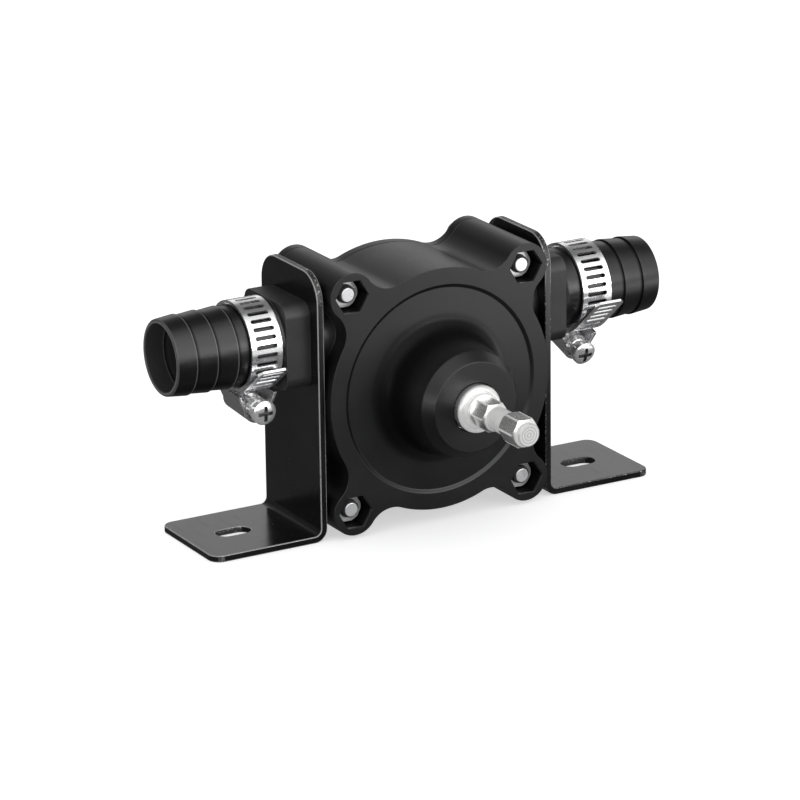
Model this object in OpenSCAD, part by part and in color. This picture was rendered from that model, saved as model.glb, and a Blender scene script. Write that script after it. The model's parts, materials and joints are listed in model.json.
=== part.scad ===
// Drill powered pump: a moulded pump head between two foot brackets, with a hex drive shank,
// two hose barbs and two worm-drive hose clamps.
// X runs along the ports, -Y points out of the drive shank, Z is up.
// The origin is the floor point midway between the two foot slots, under the port axis.

/* [Head] */
// Height of the pump shaft above the underside of the feet
axis_h = 40; // [40:0.5:46]
// Radius of the round drum of the head
drum_r = 36; // [35.5:0.25:37]
// Sideways distance of a bolt ear from the shaft
ear_x = 28.5; // [28:0.25:28.5]
// Upright distance of a bolt ear from the shaft
ear_z = 32; // [32:0.25:33]
// Radius of a bolt ear
ear_r = 7; // [6.5:0.25:7.25]
// Radius of the hollow between ear and drum
ear_fillet_r = 8; // [6:0.5:9]
// Depth of the pump body, front face to joint
body_depth = 31.2; // [31.2:0.2:34]
// Thickness of the rear cover
cover_t = 3.6; // [3.4:0.2:5]
// Radius of the fine line round the front face
face_line_r = 31; // [30:0.25:31.5]
// Depth of the shallow recess inside that line
face_recess = 0.6; // [0.4:0.1:0.8]
// Width of the slanted wall of that recess
face_slope_w = 0.9; // [0.5:0.1:1.2]
// Thickness of the front wall of the head
front_wall = 5; // [5:0.25:6]
// Radius of the pump chamber
chamber_r = 29; // [28.5:0.25:29.25]

/* [Nose] */
// Reach of the nose in front of the front face
nose_len = 19.45; // [19.45:0.25:22]
// Radius of the nose at its root
nose_root_r = 17.6; // [17:0.2:18.4]
// Radius of the nose at its chamfer
nose_r = 15.7; // [15.2:0.1:16.2]
// Radius of the flat end of the nose
nose_flat_r = 13.3; // [12.6:0.1:13.8]
// Length of the chamfer of the nose
nose_chamfer = 3.65; // [3:0.25:4]
// Radius of the fillet at the foot of the nose
nose_fillet_r = 4.5; // [3.5:0.25:5.5]
// Thickness of the lip that keeps the front bearing in
nose_lip = 3.05; // [2.5:0.05:3.25]

/* [Ports] */
// Height of the port axis above the shaft
port_rise = 17.5; // [17:0.25:18]
// Wall behind the spigot's threaded hole, up to the joint of the rear cover
port_rear_wall = 1.95; // [1.9:0.05:3]
// Radius of a port boss on the head
port_boss_r = 13.5; // [12.75:0.25:14]
// Distance of a boss face from the middle of the pump
boss_face_x = 36.4; // [36.2:0.1:38]
// Radius of the water way through a port
port_bore_r = 8; // [7.25:0.25:8.25]
// Radius of the threaded spigot of a hose barb
spigot_r = 10; // [9.5:0.1:10.2]
// Depth of the threaded hole for the spigot
spigot_depth = 7; // [6:0.25:7.25]

/* [Hose barbs] */
// Distance of a barb's mouth from the middle of the pump
mouth_x = 79.5; // [78.5:0.5:90]
// Outer radius of a barb at its mouth
barb_r = 11.1; // [11:0.05:11.3]
// Bore radius of a barb at its mouth
barb_bore_r = 9.8; // [9.2:0.1:9.9]
// Height of the step of a barb's ridge
ridge_h = 0.45; // [0.3:0.05:0.5]
// Number of ridges on a barb
ridge_n = 3; // [2:1:3]
// Distance of the first ridge from the mouth
ridge_from_mouth = 6; // [5:0.25:6.5]
// Distance between ridges
ridge_pitch = 6.4; // [6:0.1:6.6]
// Growth in radius from one ridge to the next
ridge_growth = 0.15; // [0.05:0.05:0.2]
// Width of the square flange
flange_w = 25.4; // [25:0.2:27]
// Radius of the flange's corners
flange_corner_r = 4; // [3:0.25:5]
// Thickness of the square flange
flange_t = 7.8; // [6.6:0.2:7.8]
// Radius of the round neck where it meets the flange
neck_r = 12.4; // [12:0.1:12.4]
// Length of the round neck
neck_len = 1.6; // [1.2:0.1:1.7]

/* [Brackets] */
// Thickness of the bracket plate
plate_t = 2; // [1.6:0.1:2.4]
// Width of a bracket
plate_w = 33.6; // [32:0.4:38]
// Height of a bracket's top above the port axis
plate_rise = 21.4; // [20.5:0.5:26]
// Radius of a bracket's top corners
plate_corner_r = 8.5; // [5:0.5:10]
// Distance of a foot's tip from the middle of the pump
foot_x = 72.9; // [71:0.5:80]
// Radius of a foot's outer corners
foot_corner_r = 3.5; // [2:0.5:6]
// Inside radius of the bend
bend_r = 2; // [1:0.25:3]
// Distance of a foot slot's centre from the middle of the pump
slot_x = 58; // [56:0.5:60]
// Length of a foot slot, end to end
foot_slot_len = 10.8; // [9:0.2:14]
// Width of a foot slot
foot_slot_w = 6; // [5:0.25:7]

/* [Drive shank] */
// Width across flats of the hex shank
shank_af = 8; // [7.8:0.05:8]
// Reach of the shank's tip in front of the front face
tip_reach = 48.5; // [46:0.5:56]
// Radius of the round part of the shaft
shaft_r = 4; // [3.9:0.05:4]
// Length of the outer hex
outer_hex_len = 8.6; // [7:0.2:10]
// Length of the round neck between the two hexes
shank_neck_len = 7.4; // [5:0.2:8]
// Radius of that neck
shank_neck_r = 3.5; // [3.1:0.1:3.7]
// Radius of the round tip
tip_r = 3.4; // [3:0.1:3.7]
// Length of the round tip
tip_len = 1.4; // [0.8:0.2:2]
// Radius of the collar
collar_r = 7; // [6.6:0.1:7.1]
// Radius of the small ring in front of the collar
collar_ring_r = 5.2; // [4.9:0.1:5.5]

/* [Bearings] */
// Outer radius of a bearing
bearing_r = 11; // [10.9:0.05:11.1]
// Width of a bearing
bearing_w = 7; // [6.8:0.1:7.2]
// Distance between the two bearings
bearing_gap = 5; // [3:0.25:5]
// Radius of a ball
ball_r = 1.95; // [1.85:0.05:1.95]
// Number of balls in a bearing
ball_n = 7; // [5:1:7]

/* [Impeller] */
// Radius of the impeller
impeller_r = 26; // [23:0.5:26.5]
// Number of vanes
vane_n = 8; // [5:1:12]
// Thickness of a vane
vane_t = 2; // [1.5:0.1:2.5]
// Thickness of the impeller's disc
disc_t = 2; // [1.5:0.1:2.5]
// Radius of the arc that a vane follows
vane_bow_r = 22; // [18:0.5:40]

/* [Bolts] */
// Radius of the through bolts
bolt_r = 2.5; // [2.2:0.05:2.5]
// Width across flats of nuts and bolt heads
nut_af = 8; // [7.5:0.1:8]
// Thickness of a nut
nut_t = 4; // [3.5:0.1:4.5]
// Width across flats of a nut pocket
pocket_af = 9.1; // [8.8:0.1:9.3]
// Depth of a nut pocket
pocket_depth = 8.5; // [7.5:0.1:8.7]
// Thickness of a bolt head
bolt_head_t = 3.5; // [3:0.1:4]
// Radius of a bolt's washer
washer_r = 5; // [4.6:0.1:5.4]
// Thickness of a bolt's washer
washer_t = 1; // [0.8:0.1:1.2]

/* [Hose clamps] */
// Width of a clamp band
band_w = 9.6; // [8:0.2:9.6]
// Thickness of a clamp band
band_t = 0.7; // [0.5:0.05:0.8]
// Distance of the left band's middle from the middle of the pump
left_band_x = 52.4; // [52.4:0.2:54]
// Distance of the right band's middle from the middle of the pump
right_band_x = 56.7; // [53:0.2:57]
// Number of slots round a band
slot_n = 32; // [24:1:34]
// Width of a band slot
band_slot_w = 1.25; // [0.8:0.05:1.3]
// Length of a band slot
band_slot_len = 6.6; // [5:0.1:6.6]
// Length of the left band's free tail
left_tail_len = 11; // [8:0.5:14]
// Length of the right band's free tail
right_tail_len = 15; // [9:0.5:18]
// Radius of a clamp's worm screw
worm_r = 3.3; // [3:0.1:3.4]
// Radius of a clamp screw's head
screw_head_r = 3.6; // [3.4:0.1:3.9]

/* [Hidden] */
$fn = 96;
// Shared clearances and the overrun of every cut
fit = 0.05;
gap = 0.3;
over = 1;
// Places along the shaft are measured behind the front face
port_setback = body_depth - spigot_r - port_rear_wall;
front_y = -port_setback;
port_h = axis_h + port_rise;
rear_q = body_depth + cover_t;
hex_corner_share = 1 / cos(30);

ear_reach_r = norm([ear_x, ear_z]) + ear_r + over;

// Depth by which the hollows beside an ear cut into drum and ear, so that the arcs cross
fillet_bite = 0.03;

// Front face and nose
nose_end_q = -nose_len;
nose_taper_q = -(nose_len - nose_chamfer);
face_dish = 0.3;
chamber_q = front_wall;

// Bearings, from the nose inwards
front_bearing_q = nose_end_q + nose_lip;
rear_bearing_q = front_bearing_q + bearing_w + bearing_gap;
bearings_end_q = rear_bearing_q + bearing_w;
collar_hole_r = collar_r + gap;
race_wall = 1.95;
inner_race_r = shaft_r + race_wall;
outer_race_r = bearing_r - race_wall;
pitch_r = (inner_race_r + outer_race_r) / 2;
race_groove_r = ball_r + 2 * fit;
race_edge = 0.3;
cage_t = 1.2;
cage_back = 0.6;
cage_front = 0.9;

// Ring that keeps the bearings in the body
circlip_t = 1;
circlip_bite = 0.6;
circlip_depth = 1.6;
circlip_gap_deg = 50;

// Shaft seal behind the bearings
seal_pocket_r = 12;
seal_pocket_q = bearings_end_q + circlip_t + gap;
seal_hub_wall = 3;
seal_pocket_len = 4.8;
seal_hub_q = seal_pocket_q + seal_pocket_len;
seal_cup_floor = 0.8;
seal_seat_r = 8.6;
seal_seat_bore_r = 5;
seal_seat_proud = 0.6;
seal_face_q = seal_hub_q + seal_seat_proud;
face_ring_r = 7.6;
face_ring_t = 2.3;
face_ring_q = seal_face_q + fit;
spring_q = face_ring_q + face_ring_t;
spring_len = 5;
spring_wire_r = 0.45;
spring_coil_r = 6.2;
spring_turns = 2.5;
spring_rings = 8;
clip_t = 0.9;
clip_r = 6;
clip_bite = 0.5;

// Impeller
impeller_q = spring_q + spring_len;
chamber_end_gap = 0.6;
wear_t = 1.2;
wear_q = body_depth - wear_t;
vane_end_q = wear_q - chamber_end_gap;
hub_r = 10;
hub_recess_r = 7.4;
hub_recess_depth = 6;
hub_floor_q = wear_q - hub_recess_depth;
drive_flat_share = 0.7;
stud_r = 3;
impeller_washer_t = 1;
impeller_washer_r = 6.9;
impeller_nut_af = 10;
impeller_nut_t = 4;
stud_end_q = hub_floor_q + impeller_washer_t + impeller_nut_t + gap;
tongue_deg = 26;
tongue_gap = 0.7;
wear_lip = 1.2;

// Rear cover and its sealing ring
cover_seal_r = 0.93;
cover_groove_depth = 1.9;
cover_groove_w = 2.2;
cover_seal_ring_r = (chamber_r + wear_lip + drum_r) / 2;
cover_plinth_r = 25;
cover_plinth_t = 1.2;
cover_plinth_slope = 1.2;

// Bolts
hole_clear = 0.2;
bolt_proud = 2;
bolt_end_chamfer = 0.55;
bolt_tip_q = pocket_depth - nut_t - bolt_proud;
nut_chamfer = 0.5;

// Ports and hose barbs, whose water way has fully opened into the chamber at its inner end
thread_clear = 0.06;
port_inner_x = sqrt(pow(chamber_r, 2) - pow(port_rise + port_bore_r, 2)) - over;
port_seal_t = 1.2;
counterbore_x = boss_face_x - spigot_depth;
spigot_end_x = counterbore_x + port_seal_t + fit;
flange_x = boss_face_x + plate_t;
flange_end_x = flange_x + flange_t;
neck_end_x = flange_end_x + neck_len;
last_ridge_x = mouth_x - ridge_from_mouth - (ridge_n - 1) * ridge_pitch;
land_drop = 0.15;
land_r = barb_r + ridge_growth * ridge_n + ridge_h - land_drop;
mouth_edge = 0.3;
throat_start = 1.5;
throat_x = flange_end_x + throat_start;
throat_len = 4;

// Brackets
plate_hole_r = spigot_r + 2 * fit;
plate_x = boss_face_x;
plate_h = port_h + plate_rise;
bend_outer_r = bend_r + plate_t;

// Drive shank
shank_corner_r = shank_af / 2 * hex_corner_share;
tip_q = -tip_reach;
outer_hex_q = tip_q + tip_len;
shank_neck_q = outer_hex_q + outer_hex_len;
inner_hex_q = shank_neck_q + shank_neck_len;
collar_step = 1.5;
collar_proud = 4.6;
collar_len = nose_lip + collar_proud;
collar_front_q = front_bearing_q - fit - collar_len;
hex_end_chamfer = 0.9;
neck_slope = 1;
collar_round_r = 1.5;
ring_round_r = 0.6;

// Hose clamps, with the screw housing at the bottom of the band
band_r = land_r + land_drop + gap;
band_outer_r = band_r + band_t;
tail_r = band_outer_r + band_t;
worm_d = tail_r + gap + worm_r;
housing_wall = 0.8;
housing_front = 7.5;
housing_rear = 5.5;
housing_r = worm_r + gap + housing_wall;
housing_w = band_w + 2 * gap + 2 * housing_wall;
housing_top_d = band_outer_r + gap;
housing_knee_d = tail_r + gap;
screw_reach = 12.4;
screw_head_t = 2.6;
screw_neck_r = 2.4;
screw_dome = 0.9;
dome_edge_share = 0.85;
worm_ridge_n = 5;
worm_ridge_h = 0.6;
recess_len = 4.6;
recess_w = 1.1;
recess_depth = 1.2;
left_turn = 4;
right_turn = 18;
left_tail_deg = 42;
right_tail_deg = 59;
overlap_deg = 20;
housing_skip_deg = 34;
tail_corner = 1.3;
tail_lap = 0.5;

// Puts a shape on the shaft line: its z runs back from the front face
module on_shaft() {
    translate([0, front_y, axis_h]) rotate([-90, 0, 0]) children();
}

// Puts a shape on the port line: its z runs outwards on the given side
module on_port(side) {
    translate([0, 0, port_h]) rotate([0, side * 90, 0]) children();
}

// Puts a shape at each of the four bolt ears, seen from the front
module at_ears() {
    for (sx = [-1, 1], sz = [-1, 1]) translate([sx * ear_x, sz * ear_z, 0]) children();
}

// Ring between two radii and two places along its axis
module ring(r_out, r_in, q0, q1) {
    difference() {
        translate([0, 0, q0]) cylinder(r = r_out, h = q1 - q0);
        translate([0, 0, q0 - over]) cylinder(r = r_in, h = q1 - q0 + 2 * over);
    }
}

// Hexagonal prism given by its width across flats
module hex_prism(af, q0, q1) {
    translate([0, 0, q0]) cylinder(r = af / 2 * hex_corner_share, h = q1 - q0, $fn = 6);
}

// One hollow curve between the drum and an ear: the corner between the two less a circle
module ear_hollow(sx, sz, turn) {
    span = norm([ear_x, ear_z]);
    a = drum_r + ear_fillet_r;
    b = ear_r + ear_fillet_r;
    bend = acos((a * a + span * span - b * b) / (2 * a * span));
    dir = atan2(ear_z, ear_x) + turn * bend;
    c = a * [cos(dir), sin(dir)];
    scale([sx, sz]) difference() {
        polygon([[0, 0], [ear_x, ear_z], c]);
        translate(c) circle(ear_fillet_r + fillet_bite);
    }
}

// Outline shared by the pump body and the rear cover
module head_outline() {
    circle(drum_r);
    for (sx = [-1, 1], sz = [-1, 1]) {
        translate([sx * ear_x, sz * ear_z]) circle(ear_r);
        for (turn = [-1, 1]) ear_hollow(sx, sz, turn);
    }
}

// Half profile of the recessed front face and the nose, forward places positive
module nose_profile() {
    foot_r = nose_root_r + nose_fillet_r;
    face_p = face_dish - face_recess;
    fillet_p = face_p + nose_fillet_r;
    polygon([[0, -front_wall], [face_line_r, -front_wall], [face_line_r, 0],
        [face_line_r - face_slope_w, -face_recess], [foot_r, face_p], [nose_root_r, face_p],
        [nose_root_r, fillet_p], [nose_r, nose_len - nose_chamfer], [nose_flat_r, nose_len],
        [0, nose_len]]);
    difference() {
        translate([0, face_p]) square([foot_r, nose_fillet_r]);
        translate([foot_r, fillet_p]) circle(nose_fillet_r);
    }
}

// Outer form of the pump body, with its chamber open to the rear
module pump_body_shell() {
    difference() {
        union() {
            on_shaft() {
                linear_extrude(body_depth) head_outline();
                translate([0, 0, nose_end_q])
                    cylinder(r = nose_root_r + nose_fillet_r, h = nose_len + front_wall);
            }
            for (side = [-1, 1]) on_port(side) cylinder(r = port_boss_r, h = boss_face_x);
        }
        on_shaft() {
            // Space in front of the recessed face, round the nose
            mirror([0, 0, 1]) rotate_extrude() difference() {
                translate([0, -face_recess]) square([face_line_r, nose_len + face_recess + over]);
                nose_profile();
            }
            translate([0, 0, chamber_q]) cylinder(r = chamber_r, h = body_depth);
            translate([0, 0, wear_q]) cylinder(r = chamber_r + wear_lip, h = wear_t + over);
            // Flat joint face, also across the port bosses
            translate([0, 0, body_depth]) cylinder(r = ear_reach_r, h = port_boss_r);
        }
    }
}

// Hub round the shaft seal, and the tongue that parts the two ports at the top of the chamber
module chamber_fittings() {
    start_q = chamber_q - fit;
    translate([0, 0, start_q])
        cylinder(r = seal_pocket_r + seal_hub_wall, h = seal_hub_q - start_q);
    translate([0, 0, start_q]) linear_extrude(wear_q - start_q) rotate(-90 - tongue_deg / 2)
        chamber_tongue();
}

// Bearing bore, circlip groove, seal pocket, bolt holes and nut pockets
module shaft_line_cuts() {
    translate([0, 0, front_bearing_q])
        cylinder(r = bearing_r + fit / 2, h = seal_pocket_q - front_bearing_q + over);
    translate([0, 0, nose_end_q - over]) cylinder(r = collar_hole_r, h = nose_lip + 2 * over);
    translate([0, 0, seal_pocket_q]) cylinder(r = seal_pocket_r, h = seal_hub_q);
    ring(bearing_r + circlip_bite, bearing_r - circlip_bite,
        bearings_end_q + fit, bearings_end_q + circlip_t + 3 * fit);
    at_ears() {
        translate([0, 0, pocket_depth - over])
            cylinder(r = bolt_r + hole_clear, h = body_depth);
        translate([0, 0, -over]) hex_prism(pocket_af, 0, pocket_depth + over);
    }
}

module pump_body() {
    color("#232325") difference() {
        union() {
            pump_body_shell();
            on_shaft() chamber_fittings();
        }
        on_shaft() shaft_line_cuts();
        for (side = [-1, 1]) on_port(side) {
            translate([0, 0, counterbore_x])
                cylinder(r = spigot_r + thread_clear, h = spigot_depth + over);
            translate([0, 0, port_inner_x]) cylinder(r = port_bore_r, h = boss_face_x);
        }
    }
}

// Block at the chamber wall that the vanes pass with little room
module chamber_tongue() {
    intersection() {
        difference() {
            circle(chamber_r + over);
            circle(impeller_r + tongue_gap);
        }
        polygon([[0, 0], [2 * chamber_r, 0],
            2 * chamber_r * [cos(tongue_deg), sin(tongue_deg)]]);
    }
}

module rear_cover() {
    color("#232325") on_shaft() difference() {
        union() {
            translate([0, 0, body_depth]) linear_extrude(cover_t) head_outline();
            translate([0, 0, rear_q]) cylinder(r1 = cover_plinth_r,
                r2 = cover_plinth_r - cover_plinth_slope, h = cover_plinth_t);
        }
        ring(cover_seal_ring_r + cover_groove_w / 2, cover_seal_ring_r - cover_groove_w / 2,
            body_depth - over, body_depth + cover_groove_depth);
        at_ears() translate([0, 0, body_depth - over])
            cylinder(r = bolt_r + hole_clear, h = cover_t + 2 * over);
    }
}

module cover_seal() {
    color("#1a1a1a") on_shaft() translate([0, 0, body_depth + cover_seal_r + fit / 2])
        rotate_extrude() translate([cover_seal_ring_r, 0]) circle(cover_seal_r, $fn = 32);
}

module wear_plate() {
    color("#c8c8c8") on_shaft()
        translate([0, 0, wear_q]) cylinder(r = chamber_r + wear_lip - fit, h = wear_t - fit);
}

module bearing_outer_ring(q) {
    color("#b9bcc0") on_shaft() translate([0, 0, q]) rotate_extrude() difference() {
        translate([outer_race_r, fit]) square([race_wall, bearing_w - 2 * fit]);
        translate([pitch_r, bearing_w / 2]) circle(race_groove_r);
    }
}

module bearing_inner_ring(q) {
    color("#c4c6ca") on_shaft() translate([0, 0, q]) rotate_extrude() difference() {
        translate([shaft_r + fit / 2, fit]) square([race_wall - fit / 2, bearing_w - 2 * fit]);
        translate([pitch_r, bearing_w / 2]) circle(race_groove_r);
    }
}

module bearing_balls(q) {
    color("#d5d8dc") on_shaft() translate([0, 0, q + bearing_w / 2])
        for (i = [0:ball_n - 1]) rotate(i * 360 / ball_n) translate([pitch_r, 0, 0]) sphere(ball_r);
}

// Crown cage: a ring with one open pocket for each ball
module bearing_cage(q) {
    color("#8f6a3a") on_shaft() translate([0, 0, q + bearing_w / 2]) difference() {
        ring(pitch_r + cage_t / 2, pitch_r - cage_t / 2, -cage_front, race_groove_r + cage_back);
        for (i = [0:ball_n - 1]) rotate(i * 360 / ball_n) translate([pitch_r, 0, 0])
            sphere(race_groove_r + fit);
    }
}

module front_bearing_outer_ring() { bearing_outer_ring(front_bearing_q); }
module rear_bearing_outer_ring() { bearing_outer_ring(rear_bearing_q); }
module front_bearing_inner_ring() { bearing_inner_ring(front_bearing_q); }
module rear_bearing_inner_ring() { bearing_inner_ring(rear_bearing_q); }
module front_bearing_balls() { bearing_balls(front_bearing_q); }
module rear_bearing_balls() { bearing_balls(rear_bearing_q); }
module front_bearing_cage() { bearing_cage(front_bearing_q); }
module rear_bearing_cage() { bearing_cage(rear_bearing_q); }

// Open ring cut through on one side, such as a snap ring
module snap_ring(r_out, r_in, q0, q1, gap_deg) {
    reach = 2 * r_out;
    difference() {
        ring(r_out, r_in, q0, q1);
        translate([0, 0, q0 - over]) linear_extrude(q1 - q0 + 2 * over)
            polygon([[0, 0], reach * [cos(gap_deg / 2), -sin(gap_deg / 2)],
                reach * [cos(gap_deg / 2), sin(gap_deg / 2)]]);
    }
}

module bearing_circlip() {
    color("#3a3a3c") on_shaft() snap_ring(bearing_r + circlip_bite - 2 * fit,
        bearing_r - circlip_depth, bearings_end_q + 2 * fit, bearings_end_q + circlip_t + 2 * fit,
        circlip_gap_deg);
}

module seal_cup() {
    color("#202020") on_shaft() {
        ring(seal_pocket_r - fit, seal_seat_r + fit, seal_pocket_q + fit, seal_hub_q);
        ring(seal_pocket_r - fit, seal_seat_bore_r, seal_pocket_q + fit,
            seal_pocket_q + seal_cup_floor);
    }
}

module seal_seat() {
    color("#e8e6dd") on_shaft()
        ring(seal_seat_r, seal_seat_bore_r, seal_pocket_q + seal_cup_floor + fit, seal_face_q);
}

// Hexagonal nut with its outer corners turned off and a plain bore
module nut(af, bore_r, q0, q1) {
    corner_r = af / 2 * hex_corner_share;
    difference() {
        intersection() {
            hex_prism(af, q0, q1);
            translate([0, 0, q0]) cylinder(r1 = corner_r - nut_chamfer, r2 = corner_r - nut_chamfer
                + (q1 - q0) / 2, h = q1 - q0);
            translate([0, 0, q0]) cylinder(r1 = corner_r - nut_chamfer + (q1 - q0) / 2,
                r2 = corner_r - nut_chamfer, h = q1 - q0);
        }
        translate([0, 0, q0 - over]) cylinder(r = bore_r, h = q1 - q0 + 2 * over);
    }
}

module through_bolts() {
    head_q = rear_q + washer_t;
    shank_q = bolt_tip_q + bolt_end_chamfer;
    color("#b4b6b8") on_shaft() at_ears() {
        translate([0, 0, bolt_tip_q])
            cylinder(r1 = bolt_r - bolt_end_chamfer, r2 = bolt_r, h = bolt_end_chamfer);
        translate([0, 0, shank_q]) cylinder(r = bolt_r, h = head_q - shank_q + fit);
        intersection() {
            hex_prism(nut_af, head_q, head_q + bolt_head_t);
            translate([0, 0, head_q]) cylinder(r1 = nut_af, r2 = nut_af / 2, h = bolt_head_t);
        }
    }
}

module bolt_washers() {
    color("#c0c2c4") on_shaft() at_ears()
        ring(washer_r, bolt_r + hole_clear, rear_q, rear_q + washer_t - fit);
}

module hex_nuts() {
    color("#c6c8ca") on_shaft() at_ears()
        nut(nut_af, bolt_r + fit, pocket_depth - nut_t, pocket_depth - fit);
}

// Half profile of a hose barb, radius against distance from the middle of the pump
module barb_profile() {
    ridges = [for (i = [0:ridge_n - 1])
        let (x = mouth_x - ridge_from_mouth - i * ridge_pitch,
            r = barb_r + ridge_growth * (i + 1))
        each [[r + ridge_h, x], [r, x]]];
    polygon(concat([[port_bore_r, spigot_end_x], [port_bore_r, throat_x - throat_len],
        [barb_bore_r, throat_x], [barb_bore_r, mouth_x], [barb_r - mouth_edge, mouth_x],
        [barb_r, mouth_x - mouth_edge]], ridges,
        [[land_r, neck_end_x], [neck_r, flange_end_x], [neck_r, flange_x],
        [spigot_r, flange_x], [spigot_r, spigot_end_x]]));
}

// Square flange with rounded corners, which holds the bracket against the port boss
module flange_outline() {
    side = flange_w - 2 * flange_corner_r;
    square([flange_w, side], center = true);
    square([side, flange_w], center = true);
    for (sx = [-1, 1], sy = [-1, 1]) translate([sx * side / 2, sy * side / 2])
        circle(flange_corner_r);
}

module hose_barb(side) {
    color("#1c1c1e") on_port(side) {
        rotate_extrude() barb_profile();
        difference() {
            translate([0, 0, flange_x]) linear_extrude(flange_t) flange_outline();
            translate([0, 0, flange_x - over]) cylinder(r = barb_bore_r, h = flange_t + 2 * over);
        }
    }
}

module left_hose_barb() { hose_barb(-1); }
module right_hose_barb() { hose_barb(1); }

module port_seal(side) {
    color("#151515") on_port(side)
        ring(spigot_r, port_bore_r, counterbore_x + fit, counterbore_x + port_seal_t);
}

module left_port_seal() { port_seal(-1); }
module right_port_seal() { port_seal(1); }

// Upright plate of a bracket, seen along X, above the bend
module plate_outline() {
    top = plate_h - plate_corner_r;
    translate([-plate_w / 2, bend_outer_r]) square([plate_w, top - bend_outer_r]);
    translate([-plate_w / 2 + plate_corner_r, bend_outer_r])
        square([plate_w - 2 * plate_corner_r, plate_h - bend_outer_r]);
    for (s = [-1, 1]) translate([s * (plate_w / 2 - plate_corner_r), top]) circle(plate_corner_r);
}

// Foot of a bracket, seen from above, with its slot
module foot_outline() {
    start = plate_x + bend_outer_r;
    tip = foot_x - foot_corner_r;
    difference() {
        union() {
            translate([start, -plate_w / 2]) square([tip - start, plate_w]);
            translate([start, -plate_w / 2 + foot_corner_r])
                square([foot_x - start, plate_w - 2 * foot_corner_r]);
            for (s = [-1, 1]) translate([tip, s * (plate_w / 2 - foot_corner_r)])
                circle(foot_corner_r);
        }
        translate([slot_x - foot_slot_len / 2 + foot_slot_w / 2, -foot_slot_w / 2])
            square([foot_slot_len - foot_slot_w, foot_slot_w]);
        for (s = [-1, 1]) translate([slot_x + s * (foot_slot_len - foot_slot_w) / 2, 0])
            circle(foot_slot_w / 2);
    }
}

module bracket(side) {
    color("#1b1b1d") scale([side, 1, 1]) {
        difference() {
            translate([plate_x, 0, 0]) rotate([90, 0, 90]) linear_extrude(plate_t) plate_outline();
            translate([plate_x - over, 0, port_h]) rotate([0, 90, 0])
                cylinder(r = plate_hole_r, h = plate_t + 2 * over);
        }
        linear_extrude(plate_t) foot_outline();
        translate([plate_x + bend_outer_r, plate_w / 2, bend_outer_r]) rotate([90, 0, 0])
            rotate([0, 0, 180]) rotate_extrude(angle = 90)
            translate([bend_r, 0]) square([plate_t, plate_w]);
    }
}

module left_bracket() { bracket(-1); }
module right_bracket() { bracket(1); }

module drive_shaft() {
    hex_r = shank_corner_r;
    color("#d2d4d6") on_shaft() {
        intersection() {
            union() {
                hex_prism(shank_af, outer_hex_q, shank_neck_q);
                hex_prism(shank_af, inner_hex_q, collar_front_q);
            }
            // Turned envelope that bevels the ends of both hexes
            rotate_extrude() polygon([[0, outer_hex_q], [tip_r, outer_hex_q],
                [hex_r, outer_hex_q + hex_end_chamfer], [hex_r, shank_neck_q - neck_slope],
                [shank_neck_r, shank_neck_q], [shank_neck_r, inner_hex_q],
                [hex_r, inner_hex_q + neck_slope], [hex_r, collar_front_q], [0, collar_front_q]]);
        }
        translate([0, 0, tip_q]) cylinder(r1 = tip_r - gap, r2 = tip_r, h = gap);
        translate([0, 0, tip_q + gap]) cylinder(r = tip_r, h = tip_len - gap + fit);
        translate([0, 0, shank_neck_q - fit])
            cylinder(r = shank_neck_r, h = shank_neck_len + 2 * fit);
        difference() {
            translate([0, 0, collar_front_q - fit])
                cylinder(r = shaft_r, h = hub_floor_q - collar_front_q);
            // Flat that drives the impeller, and the groove of the shaft clip
            translate([-shaft_r, shaft_r * drive_flat_share, impeller_q])
                cube([2 * shaft_r, shaft_r, hub_floor_q]);
            ring(shaft_r + over, shaft_r - clip_bite, bearings_end_q + fit,
                bearings_end_q + clip_t + 3 * fit);
        }
        translate([0, 0, hub_floor_q - 2 * fit]) cylinder(r = stud_r, h = stud_end_q - hub_floor_q);
    }
}

// Turned collar between the hex and the front bearing, with a small ring in front
module shaft_collar() {
    ring_top = collar_step + collar_round_r;
    color("#d2d4d6") on_shaft() translate([0, 0, collar_front_q + fit]) rotate_extrude() {
        difference() {
            union() {
                translate([0, ring_round_r]) square([collar_ring_r, ring_top]);
                square([collar_ring_r - ring_round_r, ring_top]);
                translate([collar_ring_r - ring_round_r, ring_round_r]) circle(ring_round_r);
                translate([0, collar_step]) square([collar_r - collar_round_r, collar_round_r]);
                translate([collar_r - collar_round_r, ring_top]) circle(collar_round_r);
                translate([0, ring_top]) square([collar_r, collar_len - ring_top - fit]);
            }
            translate([-collar_r, -over])
                square([collar_r + shaft_r + fit / 2, collar_len + 2 * over]);
        }
    }
}

module bearing_spacer() {
    color("#b0b2b4") on_shaft() ring(inner_race_r - race_edge, shaft_r + fit / 2,
        front_bearing_q + bearing_w, rear_bearing_q);
}

module shaft_clip() {
    color("#3a3a3c") on_shaft() snap_ring(clip_r, shaft_r - clip_bite + fit,
        bearings_end_q + 2 * fit, bearings_end_q + clip_t + 2 * fit, circlip_gap_deg);
}

module seal_face_ring() {
    color("#2e2e30") on_shaft()
        ring(face_ring_r, shaft_r + fit / 2, face_ring_q, face_ring_q + face_ring_t);
}

// Round wire wound as one unbroken tube
function spring_point(i) =
    let (turn = i / spring_rings, z = spring_wire_r + turn * spring_lead)
    [spring_coil_r * cos(360 * turn), spring_coil_r * sin(360 * turn), z];
spring_lead = (spring_len - 2 * spring_wire_r - 2 * fit) / spring_turns;
spring_steps = spring_turns * spring_rings;
wire_sides = 6;

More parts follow.
